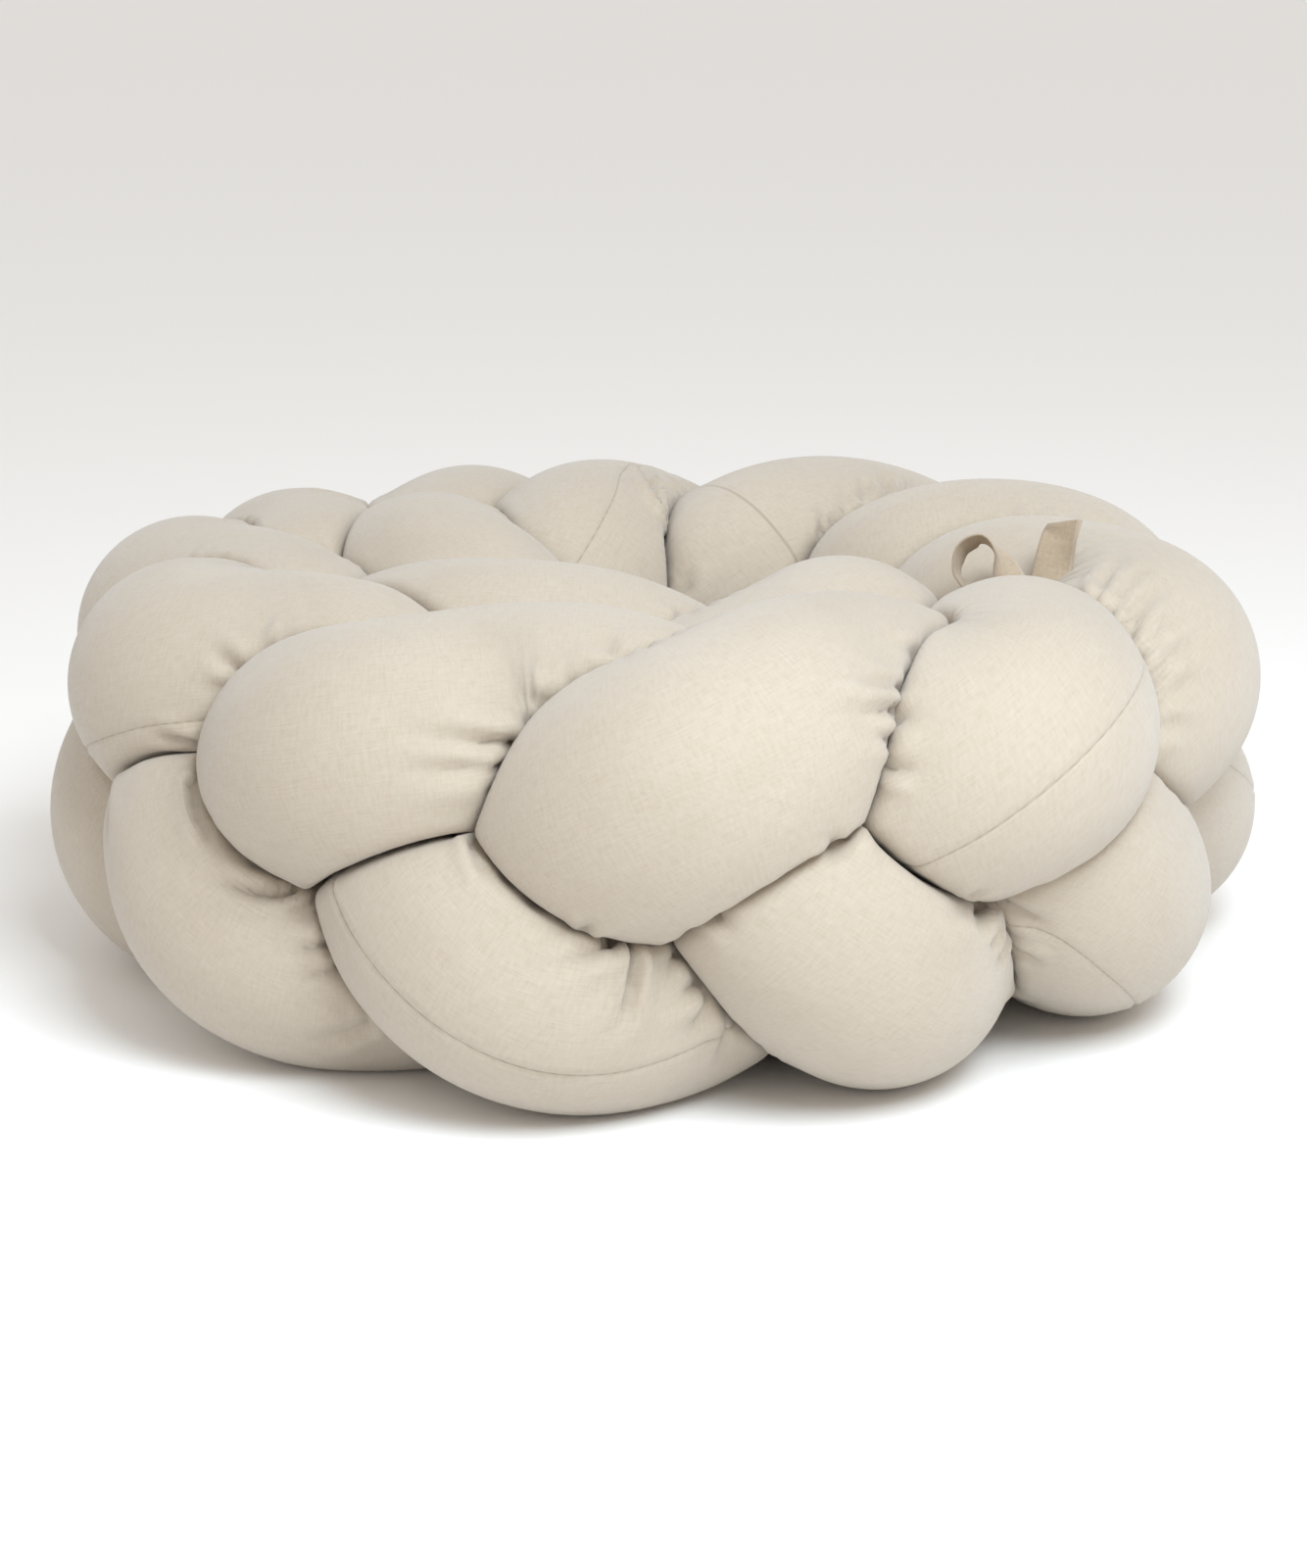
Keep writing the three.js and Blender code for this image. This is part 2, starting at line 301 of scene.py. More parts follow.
# A flat rectangle of cloth, with one corner for each ring and side, is rolled up and sewn along its edge.
def rolledCloth(name, rings, marks, closed):
    count, sides = rings.shape[:2]
    deselectAll()
    bpy.ops.mesh.primitive_grid_add(x_subdivisions=sides, y_subdivisions=count - 1, size=1, calc_uvs=True)
    piece = bpy.context.object
    piece.name = piece.data.name = name
    flat = np.empty(len(piece.data.vertices) * 3)
    piece.data.vertices.foreach_get("co", flat)
    flat = flat.reshape(-1, 3)
    column = np.round((flat[:, 0] + 0.5) * sides).astype(int) % sides
    row = np.round((flat[:, 1] + 0.5) * (count - 1)).astype(int)
    piece.data.vertices.foreach_set("co", (rings[row, column] * mm).ravel())
    for mark, values in marks.items():
        attribute = piece.data.attributes.new(mark, "FLOAT", "POINT")
        attribute.data.foreach_set("value", values[row, column])
    bpy.ops.object.mode_set(mode="EDIT")
    bpy.ops.mesh.select_all(action="SELECT")
    bpy.ops.mesh.remove_doubles(threshold=mergeWithin)
    if closed:
        bpy.ops.mesh.select_all(action="SELECT")
        bpy.ops.mesh.fill_holes(sides=sides)
    bpy.ops.mesh.select_all(action="SELECT")
    bpy.ops.mesh.normals_make_consistent(inside=False)
    bpy.ops.object.mode_set(mode="OBJECT")
    return piece


# Each tube's long seam, where the photograph shows it: loop, then pixels of the photograph
seams = {
    "seen": [
        [(7.5, (1073, 947)), (7.5, (1107, 975)), (7.5, (1154, 1012))],
        [(4, (627, 508)), (4, (611, 533)), (4, (586, 580))],
        [(8, (1165, 681)), (8, (1153, 702)), (8, (1135, 734)), (8, (1080, 795)), (8, (1010, 849)),
         (8, (949, 882)), (9.5, (747, 1035)), (9.5, (698, 1071)), (9.5, (600, 1101)), (9.5, (510, 1085)),
         (9.5, (444, 1047)), (9.5, (389, 993)), (9.5, (353, 944)), (9.5, (342, 898)),
         (11, (223, 731)), (11, (172, 734)), (11, (141, 742)), (11, (110, 753)), (11, (92, 767))],
    ],
    # Where no seam shows it keeps to the far side: loop, then the way it faces
    "unseen": [
        [(3, (-0.5, 0.8, -0.3)), (6, (0.3, 0.8, -0.5)), (9, (0, 1, -0.3)), (10.5, (0.3, 1, 0)),
         (12, (0.6, 0.5, -0.6))],
        [(7, (0.6, 0.5, -0.6)), (8.5, (0, 1, -0.2)), (10, (0, 1, -0.3)), (13, (0.6, 0.2, -0.7))],
        [(2, (-0.3, 0.8, -0.5)), (5, (0.2, 0.7, -0.7)), (14, (0, 0.6, -0.8))],
    ],
    "joinTube": 2,          # a second seam goes round this tube
    "join": [(5, (755, 484)), (5, (765, 518)), (5, (780, 572))],
    "farFromJoin": 99,      # mm, on the tubes that have no second seam
    "easeLength": 15,       # mm over which a seam turns between the stretches that show
    "trough": 0.5,          # mm
    "ridge": 0.25,
    "pucker": 0.25,
    "puckerBlur": 2,
    "seed": 2,
}

# How a pixel finds its spot on a tube: each cost is in pixels
search = {
    "loopReach": 0.95,      # loops from the one that is meant
    "elsewhereCost": 1e4,
    "hiddenCost": 1e3,      # on the side that faces away
    "depthCost": 0.12,      # for each mm from the camera
    "strayCost": 0.15,      # for each mm from the last spot of the path
}


def hiddenPart(tube):
    return ((cameraPlace - tube["rings"]) * tube["rays"]).sum(axis=2) < 0


# The ring and side of a tube that show at a pixel, near an earlier spot if there is one
def spotOn(tube, loop, pixel, near=None):
    off = np.linalg.norm(tube["pixels"] - pixel, axis=2)
    elsewhere = np.abs(tube["loops"] - loop) > search["loopReach"]
    off = off + search["hiddenCost"] * hiddenPart(tube) + search["elsewhereCost"] * elsewhere[:, None]
    if near is None:
        off += search["depthCost"] * np.linalg.norm(cameraPlace - tube["rings"], axis=2)
    else:
        off += search["strayCost"] * np.linalg.norm(tube["rings"] - tube["rings"][near], axis=2)
    return np.unravel_index(off.argmin(), off.shape)


# A path is followed back from its open end, because its start may be deep in a crevice.
def spotsAlong(tube, loop, path):
    spots = []
    for pixel in reversed(path):
        spots.insert(0, spotOn(tube, loop, pixel, spots[0] if spots else None))
    return spots


# Angle of the seam at each ring; the cloth's own edges meet there
def seamTurns(number):
    tube = plaitedTube(number)
    tube["pixels"] = pixelsOf(tube["rings"])
    spots = [spotOn(tube, loop, pixel) for loop, pixel in seams["seen"][number]]
    for loop, way in seams["unseen"][number]:
        ring = np.abs(tube["loops"] - loop).argmin()
        spots.append((ring, (tube["rays"][ring] @ np.array(way)).argmax()))
    spots.sort()
    rings = np.array([ring for ring, column in spots])
    turns = np.unwrap([tube["angles"][ring, column] for ring, column in spots])
    turn = np.interp(np.arange(len(tube["rings"])), rings, turns)
    return blurred(turn[:, None], round(seams["easeLength"] / tube["spacing"]))


# How the cotton settles on its filling: it has spare length where its tube bends in or is squeezed
cloth = {
    "steps": 160,
    "bendShare": 0.5,       # the cloth is long enough for this part of the outer side's extra length
    "mostAlong": 0.4,       # most spare length, as a share of the length there
    "mostAround": 0.14,
    "nearSqueeze": 9,       # mm from a neighbour where the spare cloth gathers
    "freeShare": 0.3,       # of it, away from the neighbours
    "squeezeBlur": (30, 8),
    "curveBlur": (200, 0),
    "hold": 0.02,           # how firmly the filling holds the cloth, across and along its surface
    "holdAlong": 0.01,
    "pressure": 0.02,
    "stiffAlong": 0.15,
    "stiffAround": 0.2,
    "uneven": 0.15,         # mm
    "unevenBlur": (2, 4),
    "seed": 4,
}


# Each pass along or around mixes every point with its two neighbours.
def blurGrid(values, alongPasses, aroundPasses):
    for _ in range(alongPasses):
        padded = np.concatenate([values[:1], values, values[-1:]])
        values = (padded[:-2] + 2 * values + padded[2:]) / 4
    for _ in range(aroundPasses):
        values = (np.roll(values, 1, 1) + 2 * values + np.roll(values, -1, 1)) / 4
    return values


def limited(values, most):
    return most * np.tanh(np.maximum(values, 0) / most)


def edgeLengths(grid, axis):
    ends = np.roll(grid, -1, axis)
    return np.linalg.norm(ends - grid, axis=2)


# Spare cloth along and around each tube, as a share of the length that it has there
def spareCloth(tube):
    grid = tube["rings"]
    squeezed = np.exp(-((tube["room"] - tube["reach"]) / cloth["nearSqueeze"]) ** 2)
    near = blurGrid(squeezed, *cloth["squeezeBlur"])
    curve = blurGrid(np.linalg.norm(tube["bend"], axis=1)[:, None], *cloth["curveBlur"])
    taut = tube["spacing"] * (1 + cloth["bendShare"] * plait["tubeRadius"] * curve)
    share = cloth["freeShare"] + (1 - cloth["freeShare"]) * near
    along = share * limited(taut / edgeLengths(grid, 0) - 1, cloth["mostAlong"])
    loose = 2 * math.pi * plait["tubeRadius"] / edgeLengths(grid, 1).sum(axis=1, keepdims=True) - 1
    return along, near * limited(loose, cloth["mostAround"])


# Threads from point to point, in four sets in which no two share a point: starts, ends and lengths
def threadsOf(grid, along, around):
    count, sides = grid.shape[:2]
    index = np.arange(count * sides).reshape(count, sides)
    nextSide = np.roll(index, -1, 1)
    lengthsAlong = (edgeLengths(grid, 0) * (1 + along)).ravel()
    lengthsAround = (edgeLengths(grid, 1) * (1 + around)).ravel()
    threads = []
    for first in (0, 1):
        starts = index[first:-1:2]
        threads.append((starts, starts + sides, lengthsAlong[starts]))
        starts = index[:, first::2]
        threads.append((starts, nextSide[:, first::2], lengthsAround[starts]))
    return threads


def pullThreads(points, threads):
    for starts, ends, rest in threads:
        gap = points[ends] - points[starts]
        size = np.sqrt((gap * gap).sum(axis=-1))
        gap *= (0.5 * (size - rest) / np.maximum(size, tiny))[..., None]
        points[starts] += gap
        points[ends] -= gap


def stiffenCloth(grid):
    fold = np.zeros_like(grid)
    fold[1:-1] = (grid[2:] + grid[:-2]) / 2 - grid[1:-1]
    grid[2:-2] += cloth["stiffAlong"] * (fold[2:-2] - (fold[3:-1] + fold[1:-3]) / 2)
    fold = (np.roll(grid, 1, 1) + np.roll(grid, -1, 1)) / 2 - grid
    grid += cloth["stiffAround"] * (fold - (np.roll(fold, 1, 1) + np.roll(fold, -1, 1)) / 2)


# The neighbouring tubes and the floor stop the cloth.
def stopCloth(grid, tube):
    far = ((grid - tube["centres"][:, None]) * tube["rays"]).sum(axis=2)
    grid -= tube["rays"] * np.maximum(far - tube["room"], 0)[..., None]
    grid[..., 2] = np.maximum(grid[..., 2], 0)


# Threads pull to their lengths while the filling holds the cloth and pushes it out.
def settleCloth(tube):
    base = tube["rings"]
    threads = threadsOf(base, *spareCloth(tube))
    normal = normalsOf(base, tube["rays"])
    random = np.random.default_rng(cloth["seed"])
    uneven = blurGrid(random.normal(size=base.shape[:2]), *cloth["unevenBlur"])
    grid = base + normal * (uneven / uneven.std() * cloth["uneven"])[..., None]
    for _ in range(cloth["steps"]):
        pullThreads(grid.reshape(-1, 3), threads)
        stiffenCloth(grid)
        off = grid - base
        across = normal * (off * normal).sum(axis=2, keepdims=True)
        grid += cloth["pressure"] * normal - cloth["hold"] * across - cloth["holdAlong"] * (off - across)
        stopCloth(grid, tube)
    return grid


# Folds that the photograph shows, as pixels from the crevice outwards. They start in the crevices of
# these tubes, a little off the photograph's own. Each has its loop, and its width and depth in mm.
folds = {
    "seen": [
        (10, 4.5, 1.6, (555, 718), (536, 708), (506, 700)),
        (10, 6, 1.2, (543, 737), (488, 728)),
        (10, 3.6, 4.6, (530, 760), (490, 757), (390, 749)),
        (10, 5, 2.2, (519, 779), (465, 786), (385, 790)),
        (10, 3.2, 1.2, (507, 800), (478, 806)),
        (10, 3.4, 3, (497, 822), (455, 834), (415, 845), (370, 864), (330, 890)),
        (10, 5, 1.6, (622, 664), (604, 648)),
        (11, 4, 2.4, (247, 686), (225, 675), (200, 666)),
        (11, 5, 1.4, (235, 700), (200, 705)),
        (11, 3, 2.6, (203, 757), (180, 755), (146, 751)),
        (10.5, 2.8, 2.2, (192, 796), (198, 825), (214, 854), (236, 880)),
        (10.5, 3.2, 3.8, (298, 906), (262, 910), (228, 901), (180, 895)),
        (10.5, 5, 2.4, (326, 916), (305, 926), (268, 928)),
        (10.5, 5, 1.6, (328, 930), (297, 940)),
        (10.5, 3.2, 2.4, (340, 957), (313, 966), (276, 976)),
        (10.5, 3.4, 1.6, (348, 985), (322, 996), (296, 1002)),
        (10.5, 4.5, 1.6, (376, 1046), (345, 1056), (312, 1064)),
        (9.5, 2.8, 2.2, (481, 854), (490, 882), (514, 912)),
        (9.5, 3.8, 3.6, (626, 960), (600, 976), (536, 996)),
        (9.5, 5, 1.4, (606, 956), (575, 954), (540, 946)),
        (9.5, 4, 2.6, (628, 960), (627, 996)),
        (9.5, 3, 5, (637, 960), (645, 996), (642, 1034), (612, 1080)),
        (9.5, 5, 2.6, (712, 1003), (694, 1018)),
        (9.5, 4.5, 2.8, (722, 1016), (700, 1062)),
        (9.5, 4, 1.8, (690, 974), (678, 992)),
        (8.5, 4, 1.6, (733, 932), (750, 948)),
        (8.5, 4.5, 2, (862, 850), (854, 878)),
        (8.5, 4.5, 1.6, (846, 860), (846, 884)),
        (8.5, 5, 2, (1004, 922), (980, 928), (945, 924)),
        (8.5, 3.6, 2.6, (1003, 923), (986, 956)),
        (8.5, 3, 2, (1010, 924), (1014, 948), (1008, 974)),
        (8.5, 3, 2.2, (1027, 950), (1016, 994)),
        (7.5, 3.4, 2.6, (1024, 923), (1050, 938), (1082, 954)),
        (7.5, 3.4, 2, (1032, 962), (1066, 988)),
        (8, 3.4, 1.2, (992, 914), (1008, 904)),
        (8, 4, 2, (905, 785), (940, 781)),
        (8, 4, 1.6, (914, 738), (940, 722)),
        (9, 4, 1.1, (935, 668), (912, 661)),
        (9, 3.4, 1.5, (919, 706), (898, 700), (862, 690)),
        (9, 3.6, 3, (915, 724), (884, 725), (836, 722)),
        (9, 4.5, 1.6, (910, 756), (886, 745), (856, 732)),
        (9, 4, 1, (852, 860), (844, 848)),
        (9, 3, 1.4, (598, 950), (606, 938)),
        (7, 3.4, 3, (1120, 616), (1127, 590), (1137, 560)),
        (7, 3.8, 3.2, (1134, 632), (1143, 604), (1160, 572)),
        (7, 4.6, 4.4, (1149, 654), (1160, 620), (1188, 580)),
        (7, 4, 3.6, (1161, 676), (1180, 642), (1214, 600)),
        (7, 4.4, 3.8, (1171, 697), (1194, 670), (1234, 640)),
        (7, 5, 3, (1178, 719), (1194, 702), (1230, 688)),
        (7, 5, 1.8, (1182, 742), (1210, 728)),
        (5, 3, 2.2, (838, 547), (838, 522), (842, 496)),
        (5, 3, 2, (848, 535), (852, 518), (860, 496)),
        (5, 3.4, 1.6, (862, 522), (874, 501)),
        (5, 3, 2, (882, 510), (891, 490)),
        (5, 3, 2, (903, 503), (908, 484)),
        (5, 3, 1.8, (925, 499), (927, 480)),
        (5, 4, 1.6, (700, 602), (703, 572)),
        (4, 2.6, 6, (676, 534), (668, 514), (662, 498), (655, 480), (648, 464)),
        (2, 4, 2, (692, 636), (694, 620)),
    ],
    "deepen": 1.8,          # times the depths above
    "routeSteps": 32,
    "normalBlur": (8, 5),
    "fade": 1.5,
    # The section of a fold, in its own widths; the ridge is a share of its depth
    "startWidth": 0.75,
    "endWidth": 1.25,
    "valleyWidth": 0.75,
    "ridgeOff": 1.7,
    "ridgeShare": 0.6,
    "reach": 6,
    # Folds on the sides that the photograph doesn't show, strewn along the crevices
    "strewn": 26,           # on each tube
    "strewnWidth": (2.8, 5),
    "strewnDepth": (1.2, 2.8),
    "strewnLength": (12, 45),
    "strewnGap": (2, 5),    # mm between the tube and its neighbour where a fold starts
    "strewnTurn": 0.25,
    "backFrom": 60,         # mm behind the origin, where the back starts
    "seed": 11,
}


def normalsOf(rings, rays):
    normal = np.cross(np.roll(rings, -1, 1) - np.roll(rings, 1, 1), np.gradient(rings, axis=0))
    normal /= np.maximum(np.linalg.norm(normal, axis=2, keepdims=True), tiny)
    return normal * np.sign((normal * rays).sum(axis=2, keepdims=True))


# A route over the cloth, from ring and column numbers to points in mm
def routeOver(rings, spots):
    sides = rings.shape[1]
    spots = np.array(spots, float)
    spots[:, 1] = np.unwrap(spots[:, 1], period=sides)
    stops = np.linspace(0, 1, len(spots))
    wanted = np.linspace(0, 1, folds["routeSteps"])
    row, column = (np.interp(wanted, stops, values) for values in spots.T)
    row = np.clip(row, 0, len(rings) - 1.001)
    i, j = row.astype(int), np.floor(column).astype(int)
    s, t = (row - i)[:, None], (column - j)[:, None]
    start = rings[i, j % sides] * (1 - t) + rings[i, (j + 1) % sides] * t
    end = rings[i + 1, j % sides] * (1 - t) + rings[i + 1, (j + 1) % sides] * t
    return start * (1 - s) + end * s, round(row.min()), round(row.max())


# A fold is a narrow valley between two softer ridges, deepest where it starts.
def foldDepths(tube, spots, width, depth):
    route, first, last = routeOver(tube["rings"], spots)
    margin = round(folds["reach"] * width / tube["spacing"])
    rows = slice(max(first - margin, 0), last + margin)
    points = tube["rings"][rows]
    off = np.linalg.norm(points[:, :, None] - route, axis=3)
    nearest = off.argmin(axis=2)
    off = off.min(axis=2)
    share = nearest / (folds["routeSteps"] - 1)
    width = width * (folds["startWidth"] + (folds["endWidth"] - folds["startWidth"]) * share)
    fade = smooth(folds["fade"] * (1 - share)) * np.where(nearest == len(route) - 1, 0, 1)
    depths = np.zeros(tube["rings"].shape[:2])
    valley = np.exp(-off / (folds["valleyWidth"] * width))
    ridge = np.exp(-((off - folds["ridgeOff"] * width) / width) ** 2)
    depths[rows] = depth * fade * (folds["ridgeShare"] * ridge - valley)
    return depths


# Each runs out of its crevice, the way that the gap widens.
def strewnFolds(tube):
    random = np.random.default_rng(folds["seed"])
    step = 2 * math.pi * plait["tubeRadius"] / strand["sides"]
    gap = tube["room"] - tube["reach"]
    low, high = folds["strewnGap"]
    unseen = hiddenPart(tube) | (tube["rings"][..., 1] > folds["backFrom"])
    starts = np.argwhere((gap > low) & (gap < high) & unseen)
    downhill = np.stack([np.gradient(gap, tube["spacing"], axis=0),
                         (np.roll(gap, -1, 1) - np.roll(gap, 1, 1)) / (2 * step)], -1)
    made = []
    for ring, column in starts[random.choice(len(starts), folds["strewn"], replace=False)]:
        way = downhill[ring, column] / (np.linalg.norm(downhill[ring, column]) + tiny)
        length = random.uniform(*folds["strewnLength"])
        turn = random.normal(0, folds["strewnTurn"])
        way = np.array([way[0] * math.cos(turn) - way[1] * math.sin(turn),
                        way[0] * math.sin(turn) + way[1] * math.cos(turn)])
        end = (ring + way[0] * length / tube["spacing"], column + way[1] * length / step)
        if 0 < end[0] < len(gap) - 1:
            made.append(([(ring, column), end], random.uniform(*folds["strewnWidth"]),
                         random.uniform(*folds["strewnDepth"])))
    return made


# The long seam lies in a shallow trough between two puckered ridges.
def pressSeam(depths):
    random = np.random.default_rng(seams["seed"])
    puckers = blurGrid(random.normal(size=(len(depths), 1)), seams["puckerBlur"], 0)
    depths[:, 0] -= seams["trough"]
    for column in (-1, 1):
        depths[:, column] += seams["ridge"] + seams["pucker"] * puckers[:, 0]


def foldCloth(tube, number):
    tube["pixels"] = pixelsOf(tube["rings"])
    depths = np.zeros(tube["rings"].shape[:2])
    for loop, width, depth, *path in folds["seen"]:
        if tubeOf(loop) == number:
            depths += foldDepths(tube, spotsAlong(tube, loop, path), width, depth * folds["deepen"])
    for spots, width, depth in strewnFolds(tube):
        depths += foldDepths(tube, spots, width, depth)
    pressSeam(depths)
    normal = blurGrid(normalsOf(tube["rings"], tube["rays"]), *folds["normalBlur"])
    normal /= np.linalg.norm(normal, axis=2, keepdims=True)
    tube["rings"] = tube["rings"] + normal * depths[..., None]
    stopCloth(tube["rings"], tube)


# How far each point lies from the seam that goes round one tube, in mm along the tube
def distancesFromJoin(tube, number):
    distances = np.full(tube["rings"].shape[:2], float(seams["farFromJoin"]))
    if number == seams["joinTube"]:
        spots = [spotOn(tube, loop, pixel) for loop, pixel in seams["join"]]
        distances[:] = (np.arange(len(distances)) - np.mean([ring for ring, column in spots]))[:, None]
        distances *= tube["spacing"]
    return distances


strands = []
for number, name in enumerate(strand["names"]):
    tube = plaitedTube(number, seamTurns(number))
    tube["rings"] = settleCloth(tube)
    foldCloth(tube, number)
    marks = {"fromJoin": distancesFromJoin(tube, number)}
    piece = rolledCloth("cloth_" + name, tube["rings"], marks, closed=True)
    bpy.ops.object.shade_smooth()
    strands.append(piece)
    print(name, "plaited", len(piece.data.vertices), "points")

for piece, name in zip(strands, strand["names"]):
    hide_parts(name)
    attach(piece, "root")
print("cloth tubes finished")

# Ties: cotton strips folded lengthwise and stitched; place and width direction of each row, in mm
tie = {
    "width": 15,
    "wall": 0.45,
    "gap": 0.35,            # between the two layers
    "columns": 40,
    "rows": 60,
    "mouthGap": 2.6,        # the end tie gapes where it was cut
    "mouthLength": 7,
    "mouthSlant": 0.5,      # its cut runs up to the right
    "mouthPull": 0.3,       # how much narrower it is for each mm that it gapes
    "edgeRound": 0.5,
    "loop": [
        ((126.5, -34.6, 156), (0.75, 0.60, 0.05)),
        ((121.5, -37, 163), (0.30, 0.80, -0.45)),
        ((118.8, -38, 171), (0.30, 0.80, -0.45)),
        ((121.0, -38, 179), (0.30, 0.80, -0.45)),
        ((127.5, -38, 182), (0.30, 0.80, -0.45)),
        ((133.5, -38, 178), (0.45, 0.80, -0.40)),
        ((137.5, -39, 171), (0.75, 0.60, -0.20)),
        ((140.0, -41, 163), (0.95, 0.25, 0.05)),
    ],
    "end": [
        ((153.8, -43.6, 162.5), (0.93, -0.25, 0.22)),
        ((156.2, -42.2, 172.5), (0.94, -0.25, 0.1)),
        ((157.8, -42, 182), (0.84, -0.45, 0.2)),
        ((160.2, -42, 190.5), (0.72, -0.60, 0.34)),
    ],
    "loopRest": ["cloth_strand_one", "cloth_strand_three"],
    "endRest": ["cloth_strand_two"],
}


# A smooth curve through a few points: each stretch is a cubic with the slope of its neighbours.
def curveThrough(points, count):
    points = np.array(points, float)
    stops = lengthsOf(points[:, :3])
    slopes = np.gradient(points, stops, axis=0)
    wanted = np.linspace(0, stops[-1], count)
    i = np.clip(np.searchsorted(stops, wanted) - 1, 0, len(points) - 2)
    span = (stops[i + 1] - stops[i])[:, None]
    t = (wanted - stops[i])[:, None] / span
    return curveBetween(points[i], points[i + 1], slopes[i] * span, slopes[i + 1] * span, t)


# The strip's outline, once round: fold on one side, stitched edges on the other
def foldedOutline(width, gap):
    turn = np.linspace(0, 2 * math.pi, tie["columns"], endpoint=False)
    proud = np.sign(np.sin(turn)) * np.abs(np.sin(turn)) ** tie["edgeRound"]
    return width / 2 * np.cos(turn), gap / 2 * proud


def tieRings(rows, mouth):
    course = curveThrough([place + way for place, way in rows], tie["rows"])
    places, ways = course[:, :3], course[:, 3:]
    along = np.gradient(places, axis=0)
    along /= np.linalg.norm(along, axis=1, keepdims=True)
    ways -= along * (ways * along).sum(axis=1, keepdims=True)
    ways /= np.linalg.norm(ways, axis=1, keepdims=True)
    through = np.cross(along, ways)
    fromEnd = lengthsOf(places)[-1] - lengthsOf(places)
    gape = mouth * smooth(1 - fromEnd / tie["mouthLength"])
    slanted = ways + along * (tie["mouthSlant"] * gape / tie["mouthGap"])[:, None]
    rings = []
    for place, way, out, wider in zip(places, slanted, through, gape):
        width, gap = tie["width"] - tie["mouthPull"] * wider, tie["gap"] + tie["wall"] + wider
        across, proud = foldedOutline(width, gap)
        rings.append(place + across[:, None] * way + proud[:, None] * out)
    return np.array(rings), lengthsOf(places)[-1]


def addTie(name, node, rows, mouth):
    rings, length = tieRings(rows, mouth)
    piece = rolledCloth(name, rings, {}, closed=False)
    solid = piece.modifiers.new("wall", "SOLIDIFY")
    solid.thickness = tie["wall"] * mm
    solid.offset = 0
    bpy.ops.object.modifier_apply(modifier=solid.name)
    bpy.ops.object.shade_smooth()
    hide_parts(node)
    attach(piece, "root")
    return piece, length


loopTie, loopLength = addTie("loop_tie", "tie_loop", tie["loop"], 0)
endTie, endLength = addTie("end_tie", "tie_end", tie["end"], tie["mouthGap"])
print("ties folded,", round(loopLength), "and", round(endLength), "mm long")

# Finishes: one wrapper for sockets, so that sums are written as sums
class Value:
    def __init__(self, finish, socket):
        self.finish = finish
        self.socket = socket

    def joined(self, operation, first, second):
        return self.finish.node("ShaderNodeMath", {"operation": operation}, {0: first, 1: second})

    def through(self, operation, other=0):
        return self.joined(operation, self, other)

    def __add__(self, other):
        return self.joined("ADD", self, other)

    __radd__ = __add__

    def __sub__(self, other):
        return self.joined("SUBTRACT", self, other)

    def __rsub__(self, other):
        return self.joined("SUBTRACT", other, self)

    def __mul__(self, other):
        return self.joined("MULTIPLY", self, other)

    __rmul__ = __mul__

    def __truediv__(self, other):
        return self.joined("DIVIDE", self, other)

    def __abs__(self):
        return self.through("ABSOLUTE")


class Finish:
    def __init__(self, name):
        self.material = bpy.data.materials.new(name)
        self.material.use_nodes = True
        self.nodes = self.material.node_tree.nodes
        self.shader = self.nodes["Principled BSDF"]

    def node(self, kind, settings, sockets, output=0):
        made = self.nodes.new(kind)
        for name, setting in settings.items():
            if name == "stops":
                for stop, (place, shade) in zip(made.color_ramp.elements, setting):
                    stop.position = place
                    stop.color = (shade, shade, shade, 1)
            else:
                setattr(made, name, setting)
        for name, value in sockets.items():
            if isinstance(value, Value):
                self.material.node_tree.links.new(value.socket, made.inputs[name])
            else:
                made.inputs[name].default_value = value
        return Value(self, made.outputs[output])

    def link(self, value, name):
        self.material.node_tree.links.new(value.socket, self.shader.inputs[name])

    def fix(self, name, value):
        self.shader.inputs[name].default_value = value

    def band(self, distance, width):
        step = {"stops": [(0, 1), (1, 0)]}
        return self.node("ShaderNodeValToRGB", step, {"Fac": abs(distance) / width})

    def ramp(self, value, start, end):
        return self.node("ShaderNodeMapRange", {}, {0: value, 1: start, 2: end})

    def mix(self, share, first, second):
        return self.node("ShaderNodeMix", {"data_type": "RGBA"}, {0: share, 6: first, 7: second}, 2)

    def bump(self, height):
        return self.node("ShaderNodeBump", {}, {"Strength": 1, "Distance": 1, "Height": height})


# What the cotton and the tape have in common; the noises run from about -0.5 to 0.5
melange = {
    "streaks": (0.02, 0.30),    # where a streak starts to show, and where it shows fully
    "blotches": (0, 0.3),
    "blotchShare": 0.22,
    "blotchScale": 0.035,       # blotches to the mm
    "detail": 2,
}

cotton = {
    "colour": (0.54, 0.46, 0.364),
    "slubColour": (0.45, 0.36, 0.262),    # darker, warmer threads of the fine melange
    "paleColour": (0.61, 0.55, 0.465),
    "darkShare": 0.35,
    "paleShare": 0.3,
    "seamColour": (0.30, 0.22, 0.15),
    "roughness": 0.54,
    "roughnessVaries": 0.15,
    "sheen": 0.35,
    "sheenRoughness": 0.45,
    "sheenTint": (0.9, 0.95, 1),
    "specular": 0.42,
    "threadPitch": 0.42,    # mm
    "slub": (1.5, 0.22),    # streaks to the mm, across and along the threads
    "weaveDepth": 0.00006,  # m
    "slubDepth": 0.00012,
    "seamWidth": 0.55,      # mm
    "seamShare": 0.75,
    "joinShare": 0.8,
    "stitchContrast": 0.25,
    "grooveWidth": 1.375,
    "grooveDepth": 0.0004,  # m
    "stitchLength": 2.6,
}


